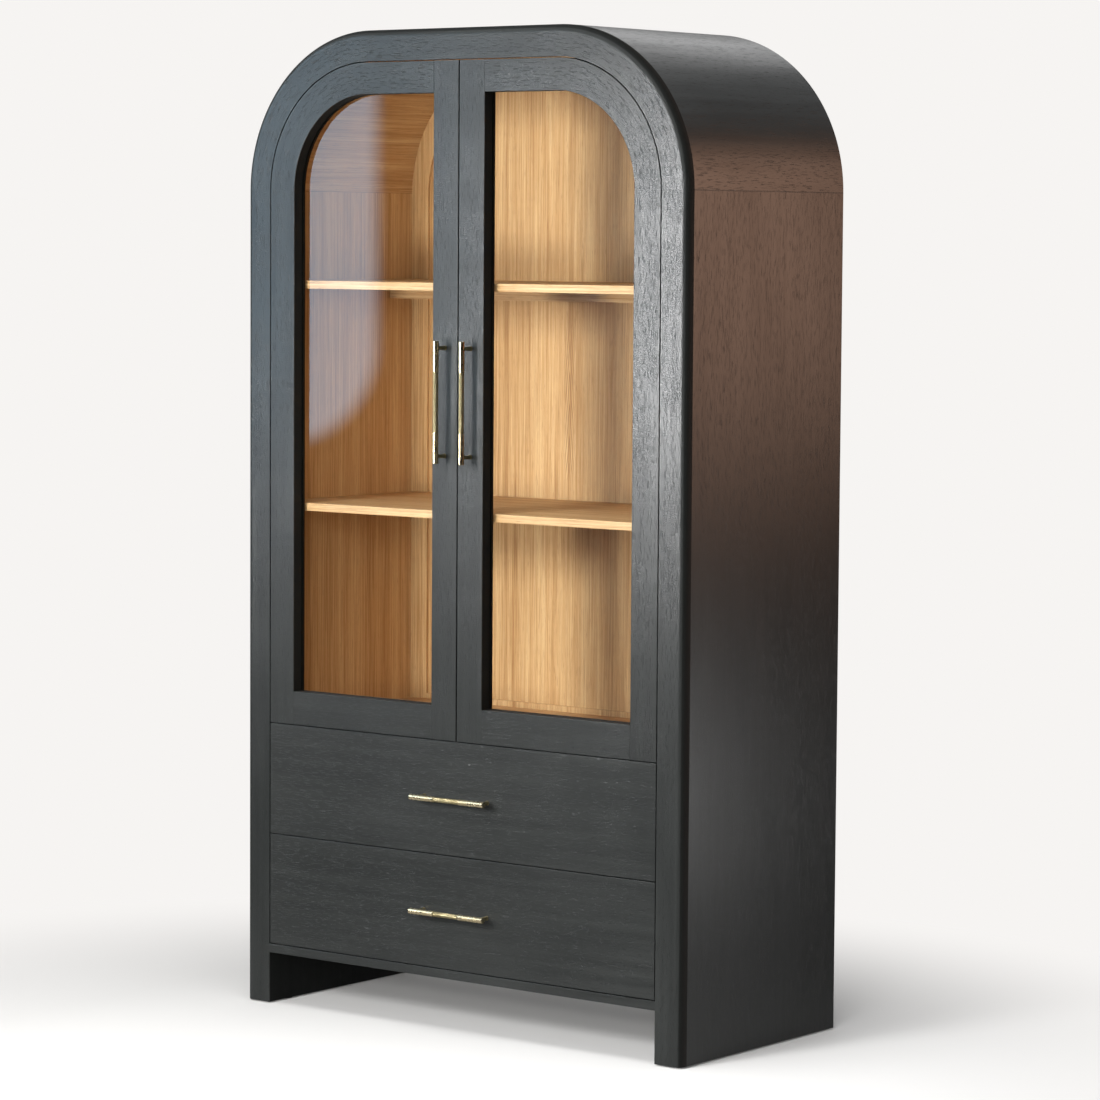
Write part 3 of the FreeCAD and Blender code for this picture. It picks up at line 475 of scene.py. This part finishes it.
MATERIALS = {
    "black_upright": black_oak("black_upright", "Z", painted_shade_edges=True),
    "black_level": black_oak("black_level", "X", painted_shade_edges=True),
    "black_arch": black_oak("black_arch", "ARC", painted_shade_edges=True),
    "black_side": black_oak("black_side", "Z", seam=True, depth=SKIN_DEPTH),
    "black_deep": black_oak("black_deep", "Y", seam=True, depth=SKIN_DEPTH),
    "back_oak": natural_oak("back_oak", "Z", 0.125, 0.06, "across", figure=True, stained_rear=True),
    "border_oak": natural_oak("border_oak", "Z", 0.5, 0.3, "across"),
    "side_oak": natural_oak("side_oak", "Z", 0.085, 0.0, "depth", tint=LINING_PAINTED_SHADE, seam=True),
    "bent_oak": natural_oak("bent_oak", "Y", 0.4, 0.17, tint=LINING_PAINTED_SHADE, seam=True),
    "shelf_oak": natural_oak("shelf_oak", "X", 0.16, 0.05, tint=SHELF_PAINTED_LIGHT),
    "drawer_ply": drawer_ply("drawer_ply"),
    "clear_glass": clear_glass("clear_glass"),
    "aged_brass": metal("aged_brass", (0.74, 0.62, 0.40), (0.56, 0.45, 0.26), 0.25, (260, 26)),
    # Darker brass: on the knurled grip, and painted shade on the posts, which sit in shadow.
    "grip_and_post_shade_brass": metal("grip_and_post_shade_brass", (0.50, 0.42, 0.24), (0.34, 0.27, 0.14), 0.34, (400, 60)),
    "zinc_steel": metal("zinc_steel", (0.62, 0.63, 0.65), (0.48, 0.49, 0.50), 0.32, (500, 30), "Y"),
    "pin_steel": metal("pin_steel", (0.68, 0.68, 0.67), (0.55, 0.54, 0.52), 0.24, (600, 60), "X"),
    "glide_plastic": moulded_plastic("glide_plastic"),
}

FINISHES = {
    "back_panel": "back_oak",
    "back_border": "border_oak",
    "left_side_lining": "side_oak",
    "right_side_lining": "side_oak",
    "left_corner_lining": "bent_oak",
    "right_corner_lining": "bent_oak",
    "top_lining": "bent_oak",
    "divider_panel": "shelf_oak",
    "upper_shelf": "shelf_oak",
    "lower_shelf": "shelf_oak",
    "shelf_rails": "shelf_oak",
    "hinge_blocks": "side_oak",
}
BLACK_FINISHES = {
    "black_side": ("side_panel",),
    "black_upright": ("front_stile", "door_hinge_stile", "door_meeting_stile", "base_board"),
    "black_level": ("top_front_rail", "door_bottom_rail", "drawer_front", "bottom_panel"),
    "black_deep": ("corner_panel", "top_panel"),
}


def finish_of(name, slot):
    """The material of a node: its own, or else by the end of its name for black oak, or else its slot's."""
    if name in FINISHES:
        return FINISHES[name]
    if slot != "black_oak":
        return slot
    for finish, endings in BLACK_FINISHES.items():
        if name.endswith(endings):
            return finish
    return "black_arch"


def finish_nodes():
    for name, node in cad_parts.items():
        for slot in node.material_slots:
            slot.material = MATERIALS[finish_of(name, slot.material.name)]


# ---------------------------------------------------------------- mesh pieces

def new_piece(name, made, body, slot, *materials):
    """Turn a bmesh into a piece that rides on a body, with one material for each face index."""
    mesh = bpy.data.meshes.new(name)
    made.to_mesh(mesh)
    made.free()
    for material in materials:
        mesh.materials.append(MATERIALS[material])
    piece = bpy.data.objects.new(name, mesh)
    bpy.context.collection.objects.link(piece)
    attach(piece, body)
    return piece


def pointing(start, direction):
    """A matrix that puts +Z along a direction, from a start point."""
    turn = Vector(direction).to_track_quat("Z", "Y").to_matrix().to_4x4()
    return Matrix.Translation(Vector(start)) @ turn


def new_ring(made, turn, points):
    """Vertices at even angles about +Z, one for each (radius, height)."""
    ring = []
    for i, (radius, height) in enumerate(points):
        angle = math.tau * i / len(points)
        place = Vector((radius * math.cos(angle), radius * math.sin(angle), height))
        ring.append(made.verts.new(turn @ place))
    return ring


def bridged(made, lower, upper):
    """Four-sided faces between two rings."""
    count = len(lower)
    faces = []
    for i in range(count):
        j = (i + 1) % count
        faces.append(made.faces.new((lower[i], lower[j], upper[j], upper[i])))
    return faces


def lathe(made, profile, turn, segments, material=0):
    """Turn a profile of (radius, height) points about +Z: smooth sides, sharp rings and flat ends."""
    rings = [new_ring(made, turn, [point] * segments) for point in profile]
    for lower, upper in zip(rings, rings[1:]):
        for face in bridged(made, lower, upper):
            face.smooth = True
            face.material_index = material
    for ring in rings:
        for i in range(segments):
            made.edges.get((ring[i], ring[(i + 1) % segments])).smooth = False
    for end in (rings[0][::-1], rings[-1]):
        made.faces.new(end).material_index = material


# ---------------------------------------------------------------- pulls

SLEEVE_LENGTH = {"door": 61 * MM, "drawer": 62 * MM}
SLEEVE_EASE = 0.8 * MM
SLEEVE_SEGMENTS = 40
GROOVE_DEPTH = 0.3 * MM
BAR_RADIUS = 6 * MM
GRIP_RADIUS = 5.3 * MM
GRIP_OVERLAP = 0.1 * MM
KNURL_DEPTH = 0.45 * MM
KNURL_PITCH = 1.75 * MM
POST_RADIUS = 4 * MM
POST_INSET = 14 * MM
POST_START = 2 * MM  # behind the bar's middle
POST_SEGMENTS = 32
# What the flared foot adds to the radius, and how far in front of the panel, both in mm.
POST_FLARE = ((0, 2.6), (0.2, 2.2), (0.7, 1.6), (0.8, 0.4), (0.6, 0))


def sleeve_profile(length):
    """A smooth sleeve with an eased outer end and one fine groove near its inner end."""
    outer, inner = BAR_RADIUS, BAR_RADIUS - GROOVE_DEPTH
    return [(outer - SLEEVE_EASE, 0.0), (outer - SLEEVE_EASE * 0.3, SLEEVE_EASE * 0.3), (outer, SLEEVE_EASE),
            (outer, length - 3.4 * MM), (inner, length - 3.2 * MM),
            (inner, length - 2.8 * MM), (outer, length - 2.6 * MM),
            (outer, length - GROOVE_DEPTH), (inner, length)]


def knurled_grip(made, turn, start, end, material):
    """Diamond knurling: peaks and valleys alternate round and along the grip."""
    around = 2 * round(math.pi * GRIP_RADIUS / KNURL_PITCH)
    along = 2 * round((end - start) / KNURL_PITCH / 2)
    rings = []
    for j in range(along + 1):
        height = start + (end - start) * j / along
        peaks = [0 < j < along and (i + j) % 2 == 0 for i in range(around)]
        rings.append(new_ring(made, turn, [(GRIP_RADIUS if peak else GRIP_RADIUS - KNURL_DEPTH, height)
                                           for peak in peaks]))
    for j in range(along):
        for i in range(around):
            k = (i + 1) % around
            a, b, c, d = rings[j][i], rings[j][k], rings[j + 1][k], rings[j + 1][i]
            halves = ((a, b, c), (a, c, d)) if (i + j) % 2 else ((b, c, d), (b, d, a))
            for half in halves:
                made.faces.new(half).material_index = material
    for end_ring in (rings[0][::-1], rings[-1]):
        made.faces.new(end_ring).material_index = material


def make_pull(node, body, kind):
    """A bar pull: a knurled grip between smooth sleeves, on two flared posts."""
    start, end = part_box(node)
    size = end - start
    length = size.z if kind == "door" else size.x
    axis = Vector((0, 0, 1)) if kind == "door" else Vector((1, 0, 0))
    centre = (start + end) / 2
    bar_y = start.y + BAR_RADIUS
    origin = Vector((centre.x, bar_y, centre.z)) - axis * length / 2
    turn = pointing(origin, axis)
    sleeve = SLEEVE_LENGTH[kind]
    made = bmesh.new()
    profile = sleeve_profile(sleeve)
    lathe(made, profile, turn, SLEEVE_SEGMENTS)
    lathe(made, [(radius, length - height) for radius, height in profile][::-1], turn, SLEEVE_SEGMENTS)
    knurled_grip(made, turn, sleeve - GRIP_OVERLAP, length - sleeve + GRIP_OVERLAP, 1)
    reach = end.y - bar_y - POST_START
    flare = [(POST_RADIUS + wider * MM, reach - ahead * MM) for wider, ahead in POST_FLARE]
    for along in (POST_INSET, length - POST_INSET):
        foot = origin + axis * along
        post = pointing((foot.x, bar_y + POST_START, foot.z), (0, 1, 0))
        # Painted shade: the posts wear the darker brass, as they sit in shadow.
        lathe(made, [(POST_RADIUS, 0)] + flare, post, POST_SEGMENTS, 1)
    piece = new_piece(node + "_pull", made, body, "aged_brass", "aged_brass", "grip_and_post_shade_brass")
    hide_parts(node)


# ---------------------------------------------------------------- screws

SCREW_SEGMENTS = 32
SCREW_RADIUS = 3.4 * MM
SCREW_DOME = 1.2 * MM
# Shares of the head's radius and of its dome, from the rim inwards.
SCREW_PROFILE = ((1.0, 0.0), (0.98, 0.35), (0.86, 0.72), (0.66, 0.92), (0.5, 0.98), (0.3, 1.0), (0.12, 1.0))
RECESS_REACH = 0.6  # share of the radius that the cross takes
RECESS_DEPTH = 1.1  # share of the dome
CUP_SCREW_REACH = 25 * MM  # above and below the middle of a hinge cup
CUP_SCREW_SINK = 0.1 * MM
PLATE_SCREW_INSET = 8 * MM  # from the top and bottom of a hinge plate
PLATE_SCREW_SETBACK = 14 * MM  # from its rear end
PLATE_THICKNESS = 1.6 * MM
BACK_SCREW_RADIUS = 3.8 * MM
BACK_SCREW_INSET = 9 * MM
BACK_SCREW_SINK = 0.2 * MM
BACK_SCREW_ROWS = 9
BACK_SCREW_BOTTOM = 6
BACK_SCREW_TOP_X = 0.16


def screw_head(made, centre, direction, radius):
    """A raised screw head with a cross recess."""
    turn = pointing(centre, direction)
    arm = SCREW_SEGMENTS // 4
    rings = []
    for radius_share, rise in SCREW_PROFILE:
        points = []
        for i in range(SCREW_SEGMENTS):
            in_recess = radius_share < RECESS_REACH and i % arm in (arm - 1, 0, 1)
            points.append((radius * radius_share, SCREW_DOME * (rise - (RECESS_DEPTH if in_recess else 0.0))))
        rings.append(new_ring(made, turn, points))
    for lower, upper in zip(rings, rings[1:]):
        bridged(made, lower, upper)
    made.faces.new(rings[-1])
    made.faces.new(rings[0][::-1])


def make_screws(name, body, places, direction, radius=SCREW_RADIUS):
    made = bmesh.new()
    for place in places:
        screw_head(made, place, direction, radius)
    new_piece(name, made, body, "zinc_steel", "zinc_steel")


def islands(node):
    """Boxes of the separate solids of a node, as (low, high) pairs."""
    mesh = bmesh.new()
    mesh.from_mesh(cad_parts[node].data)
    bmesh.ops.remove_doubles(mesh, verts=mesh.verts, dist=0.01 * MM)
    left = set(mesh.verts)
    found = []
    while left:
        stack = [left.pop()]
        corners = []
        while stack:
            vert = stack.pop()
            corners.append(vert.co.copy())
            for edge in vert.link_edges:
                other = edge.other_vert(vert)
                if other in left:
                    left.remove(other)
                    stack.append(other)
        found.append((Vector(map(min, *corners)), Vector(map(max, *corners))))
    mesh.free()
    return sorted(found, key=lambda pair: tuple(pair[0]))


def make_hinge_screws():
    """Two screws in each hinge cup's wings and two in each plate on the side lining."""
    for side in ("left", "right"):
        places = []
        for start, end in islands(f"{side}_hinge_cups"):
            centre = (start + end) / 2
            for sign in (-1, 1):
                places.append(Vector((centre.x, end.y - CUP_SCREW_SINK, centre.z + sign * CUP_SCREW_REACH)))
        make_screws(f"{side}_hinge_cup_screws", f"{side}_door", places, (0, 1, 0))
    places = {"left": [], "right": []}
    for start, end in islands("hinge_arms"):
        side = "left" if end.x < 0 else "right"
        face = start.x + PLATE_THICKNESS if side == "left" else end.x - PLATE_THICKNESS
        for height in (start.z + PLATE_SCREW_INSET, end.z - PLATE_SCREW_INSET):
            places[side].append(Vector((face, end.y - PLATE_SCREW_SETBACK, height)))
    make_screws("left_hinge_plate_screws", "carcass", places["left"], (1, 0, 0))
    make_screws("right_hinge_plate_screws", "carcass", places["right"], (-1, 0, 0))


def make_back_screws():
    """Screws round the edge of the back panel, seen from behind."""
    start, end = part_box("back_panel")
    inset = BACK_SCREW_INSET
    spots = []
    for i in range(BACK_SCREW_ROWS):
        height = start.z + inset * 2 + (SPRING_Z - start.z - inset * 2) * i / (BACK_SCREW_ROWS - 1)
        spots += [(sign * (end.x - inset), height) for sign in (-1, 1)]
    for i in range(BACK_SCREW_BOTTOM):
        across = start.x + inset * 6 + (end.x - start.x - inset * 12) * i / (BACK_SCREW_BOTTOM - 1)
        spots.append((across, start.z + inset))
    bend = end.x - CORNER_X - inset
    for degrees in (22.5, 45, 67.5):
        angle = math.radians(degrees)
        spots += [(sign * (CORNER_X + bend * math.cos(angle)), SPRING_Z + bend * math.sin(angle))
                  for sign in (-1, 1)]
    spots += [(sign * BACK_SCREW_TOP_X, end.z - inset) for sign in (-1, 1)]
    places = [Vector((x, end.y - BACK_SCREW_SINK, z)) for x, z in spots]
    make_screws("back_panel_screws", "carcass", places, (0, 1, 0), BACK_SCREW_RADIUS)


def make_details():
    for side in ("left", "right"):
        make_pull(f"{side}_door_handle", f"{side}_door", "door")
    for word in ("upper", "lower"):
        make_pull(f"{word}_drawer_handle", f"{word}_drawer", "drawer")
    make_hinge_screws()
    make_back_screws()


# ---------------------------------------------------------------- floor and world

BACKGROUND = (0.923, 0.905, 0.888)
FLOOR_RADIUS = 60
FLOOR_NEAR = 0.7  # shadows show fully up to here
FLOOR_FAR = 1.8  # and the floor is plain background from here
FLOOR_AHEAD = 0.35
# Painted light and shade: the floor's colour runs darker on the left and paler on the right, evening out the
# lamps' light and the cabinet's shadow.
FLOOR_LEFT = (0.475, 0.47, 0.46)
FLOOR_RIGHT = (0.675, 0.67, 0.66)
FLOOR_UNSEEN = (0.26, 0.26, 0.255)  # the floor's colour for bounced light
WORLD_COLOUR = (0.97, 0.98, 1.0)
WORLD_LOW = 0.02
WORLD_HIGH = 0.36  # added above the horizon's dark band


def link_stage(name, made, material):
    mesh = bpy.data.meshes.new(name)
    made.to_mesh(mesh)
    made.free()
    mesh.materials.append(material)
    item = bpy.data.objects.new(name, mesh)
    bpy.context.collection.objects.link(item)
    return item


def make_floor():
    """A pale floor that takes soft shadows near the cabinet and fades into the background."""
    material, graph = new_material("pale_floor")
    x, y, _ = graph.split(graph.place())
    ahead = graph.add(y, FLOOR_AHEAD)
    reach = graph.math("SQRT", graph.add(graph.times(x, x), graph.times(ahead, ahead)))
    seen = graph.node("ShaderNodeLightPath").outputs["Is Camera Ray"]
    mottle = graph.noise(graph.place(), scale=2.0, detail=3.0)
    # Painted light: paler towards the right, where the cabinet's shadow falls.
    shade = graph.add(graph.span(x, -0.8, 0.9, 0.0, 0.9, smooth=False), graph.times(mottle, 0.1))
    pale = graph.ramp(shade, [(0.0, FLOOR_LEFT), (1.0, FLOOR_RIGHT)])
    matt = graph.node("ShaderNodeBsdfDiffuse")
    graph.feed(matt.inputs["Color"], graph.mix(seen, FLOOR_UNSEEN, pale))
    both = graph.node("ShaderNodeAddShader")
    graph.feed(both.inputs[0], matt.outputs[0])
    graph.feed(both.inputs[1], graph.emission(BACKGROUND, graph.span(seen, 0.0, 1.0, 0.02, 0.10)))
    far = graph.emission(BACKGROUND, graph.span(seen, 0.0, 1.0, 0.03, 1.0))
    graph.surface(graph.blend_shaders(graph.span(reach, FLOOR_NEAR, FLOOR_FAR), both.outputs[0], far))
    made = bmesh.new()
    bmesh.ops.create_circle(made, cap_ends=True, segments=96, radius=FLOOR_RADIUS)
    link_stage("floor", made, material)


def make_world():
    """A plain background for the camera, and a dim room that is paler high up for everything else."""
    world = bpy.data.worlds.new("studio")
    bpy.context.scene.world = world
    world.use_nodes = True
    graph = Graph(world.node_tree)
    _, _, z = graph.split(graph.node("ShaderNodeTexCoord").outputs["Generated"])
    light = graph.add(WORLD_LOW, graph.times(graph.span(z, 0.34, 0.49), WORLD_HIGH))
    seen = graph.node("ShaderNodeLightPath").outputs["Is Camera Ray"]
    lamp = graph.node("ShaderNodeBackground")
    graph.feed(lamp.inputs["Color"], (*WORLD_COLOUR, 1))
    graph.feed(lamp.inputs["Strength"], light)
    plain = graph.node("ShaderNodeBackground")
    graph.feed(plain.inputs["Color"], (*BACKGROUND, 1))
    made = graph.node("ShaderNodeOutputWorld")
    graph.feed(made.inputs["Surface"], graph.blend_shaders(seen, lamp.outputs[0], plain.outputs[0]))


# ---------------------------------------------------------------- lights and cards

# Name, place, target, width, height, watts, and what each lights: matt surfaces, gloss or both.
LIGHTS = (
    ("key", (-0.30, -3.4, 1.95), (0, 0, 1.15), 0.6, 0.7, 115, "matt"),
    ("key_low", (0.14, -3.3, 0.95), (-0.1, 0, 1.2), 0.5, 0.5, 85, "matt"),
    ("strip", (-0.72, -2.35, 1.42), (0.5, -0.24, 1.42), 0.2, 0.9, 54, "gloss"),
    ("strip_left", (-2.85, -2.45, 1.5), (-0.5, -0.24, 1.1), 0.3, 1.4, 43, "gloss"),
    ("side_low", (2.5, 1.25, 0.22), (0.55, 0, 0.35), 0.9, 0.4, 13, "gloss"),
    ("fill", (2.8, -4.8, 1.9), (0, 0, 1.2), 1.6, 1.6, 122, "matt"),
    ("top", (0.2, -0.8, 4.2), (0, 0, 0), 2.0, 2.0, 110, "matt"),
    ("back_high", (-1.6, 3.6, 3.9), (0, 0, 1.6), 2.4, 1.2, 14, "both"),
)

CARD_DISTANCE = 2.6
WINDOW_COLOUR = (0.52, 0.76, 0.98)
WINDOW_SIZE = (1.3, 1.9)
WINDOW_EDGE = 0.63  # where its right edge shows, as a share of the left pane's width
WINDOW_SILL = 0.405  # where its lower edge shows, as a share of the pane's height
WARM_COLOUR = (1.0, 0.58, 0.40)
WARM_SIZE = (2.6, 2.2)
WARM_SHIFT = Vector((0.15, -0.45, 0))
WARM_HEIGHT = 1.75


def area_light(name, place, target, width, height, power, lit):
    lamp = bpy.data.lights.new(name, "AREA")
    lamp.shape = "RECTANGLE"
    lamp.size = width
    lamp.size_y = height
    lamp.energy = power
    item = bpy.data.objects.new(name, lamp)
    item.location = place
    item.rotation_mode = "QUATERNION"
    item.rotation_quaternion = (Vector(target) - Vector(place)).to_track_quat("-Z", "Y")
    item.visible_glossy = lit != "matt"
    item.visible_diffuse = lit != "gloss"
    bpy.context.collection.objects.link(item)


def glow_card(name, centre, facing, size, colour, strength, soft, corner):
    """A lit card with blurred, rounded edges, seen only in reflections."""
    width, height = size
    material, graph = new_material(name)
    x, y, _ = graph.split(graph.place())
    over_x = graph.take(graph.size(x), width / 2 - corner - soft)
    over_y = graph.take(graph.size(y), height / 2 - corner - soft)
    length = graph.node("ShaderNodeVectorMath", operation="LENGTH")
    graph.feed(length.inputs[0], graph.join(graph.most(over_x, 0.0), graph.most(over_y, 0.0), 0.0))
    cover = graph.span(length.outputs["Value"], corner, corner + soft, 1.0, 0.0)
    clear = graph.node("ShaderNodeBsdfTransparent")
    graph.surface(graph.blend_shaders(cover, clear.outputs[0], graph.emission(colour, strength)))
    made = bmesh.new()
    bmesh.ops.create_grid(made, x_segments=1, y_segments=1, size=0.5)
    bmesh.ops.scale(made, vec=(width, height, 1), verts=made.verts)
    card = link_stage(name, made, material)
    card.location = centre
    card.rotation_mode = "QUATERNION"
    card.rotation_quaternion = Vector(facing).to_track_quat("Z", "Y")
    card.visible_camera = False
    card.visible_shadow = False
    card.visible_diffuse = False


def mirrored(point, axis):
    """The way that the camera's line of sight to a point leaves a face with that normal axis."""
    sight = (Vector(point) - CAMERA_PLACE).normalized()
    sight[axis] = -sight[axis]
    return sight


def make_window_card():
    """The pale card that shows in the left pane."""
    start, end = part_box("left_door_glass")
    size = end - start
    edge = start + Vector((WINDOW_EDGE * size.x, 0, WINDOW_SILL * size.z))
    away = mirrored(edge, 1)
    level = Vector((away.x, away.y, 0)).normalized()
    sideways = Vector((level.y, -level.x, 0))
    corner = edge + away * CARD_DISTANCE
    centre = corner + sideways * (WINDOW_SIZE[0] / 2) + Vector((0, 0, WINDOW_SIZE[1] / 2))
    glow_card("window_card", centre, -level, WINDOW_SIZE, WINDOW_COLOUR, 3.6, 0.07, 0.22)


def make_warm_card():
    """The warm wall that shows in the right side, from its middle up to the bend."""
    edge = Vector((HALF_WIDTH, FRONT_Y, SPRING_Z))
    away = mirrored(edge, 0)
    level = Vector((away.x, away.y, 0)).normalized()
    centre = edge + away * CARD_DISTANCE + WARM_SHIFT
    centre.z = WARM_HEIGHT
    glow_card("warm_card", centre, -level, WARM_SIZE, WARM_COLOUR, 3.1, 0.75, 0.1)


def make_lights():
    for light in LIGHTS:
        area_light(*light)
    make_window_card()
    make_warm_card()


bpy.context.scene.view_settings.view_transform = "Standard"
make_camera()
finish_nodes()
make_details()
make_floor()
make_world()
make_lights()
